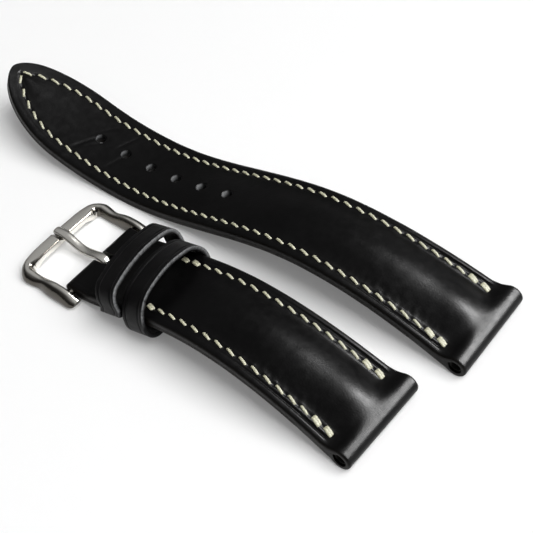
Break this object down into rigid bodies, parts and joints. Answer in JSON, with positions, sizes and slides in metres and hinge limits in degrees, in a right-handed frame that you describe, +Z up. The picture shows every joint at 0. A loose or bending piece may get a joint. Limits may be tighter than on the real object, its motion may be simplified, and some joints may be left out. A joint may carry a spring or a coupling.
{
  "type": "watch strap",
  "caption": "Padded leather watch strap in two halves with contrast stitching, punched holes, two keepers and a tang buckle on a spring bar.",
  "frame": {"origin": "middle of the short half's spring-bar tunnel at the watch end", "axes": "+X along the short half from the buckle to the watch end, +Y across it towards the long half, +Z up from the table"},
  "size_m": [0.1162, 0.0476, 0.0126],
  "materials": {
    "leather": "satin",
    "lining": "matt",
    "thread": "waxed",
    "padding": "matt",
    "tape": "matt",
    "steel": "satin"
  },
  "bodies": {
    "short_half": {"short_top_leather": "leather", "short_padding": "padding", "short_lining": "lining", "short_lug_tape": "tape", "short_stitching_left": "thread", "short_stitching_right": "thread", "fixed_keeper": "leather", "spring_bar_tube": "steel", "spring_bar_spring": "steel"},
    "long_half": {"long_top_leather": "leather", "long_padding": "padding", "long_lining": "lining", "long_lug_tape": "tape", "long_stitching_left": "thread", "long_stitching_right": "thread"},
    "free_keeper": {"free_keeper": "leather", "free_keeper_thread": "thread"},
    "buckle_tongue": {"buckle_tongue": "steel"},
    "buckle_frame": {"buckle_frame": "steel"},
    "spring_bar_tip_left": {"spring_bar_tip_left": "steel"},
    "spring_bar_tip_right": {"spring_bar_tip_right": "steel"}
  },
  "joints": [
    {"name": "long_half_lift", "type": "slide", "parent": "short_half", "child": "long_half", "axis": [0, 0, 1], "range_m": [0, 0.06]},
    {"name": "free_keeper_slide", "type": "hinge", "parent": "short_half", "child": "free_keeper", "pos_m": [-0.0261, 0, -0.0696], "axis": [0, 1, 0], "range_deg": [0, 6.6]},
    {"name": "tongue_hinge", "type": "hinge", "parent": "short_half", "child": "buckle_tongue", "pos_m": [-0.0631, 0, -0.00045], "axis": [0, 1, 0], "range_deg": [-30, 100]},
    {"name": "frame_hinge", "type": "hinge", "parent": "buckle_tongue", "child": "buckle_frame", "pos_m": [-0.0631, 0, -0.00045], "axis": [0, 1, 0], "range_deg": [-80, 0]},
    {"name": "tip_left_press", "type": "slide", "parent": "short_half", "child": "spring_bar_tip_left", "axis": [0, 1, 0], "range_m": [0, 0.0012], "stiffness_N_per_m": 300, "springref_m": -0.001, "deforming": ["spring_bar_spring"]},
    {"name": "tip_right_press", "type": "slide", "parent": "short_half", "child": "spring_bar_tip_right", "axis": [0, -1, 0], "range_m": [0, 0.0012], "stiffness_N_per_m": 300, "springref_m": -0.001, "deforming": ["spring_bar_spring"]}
  ]
}
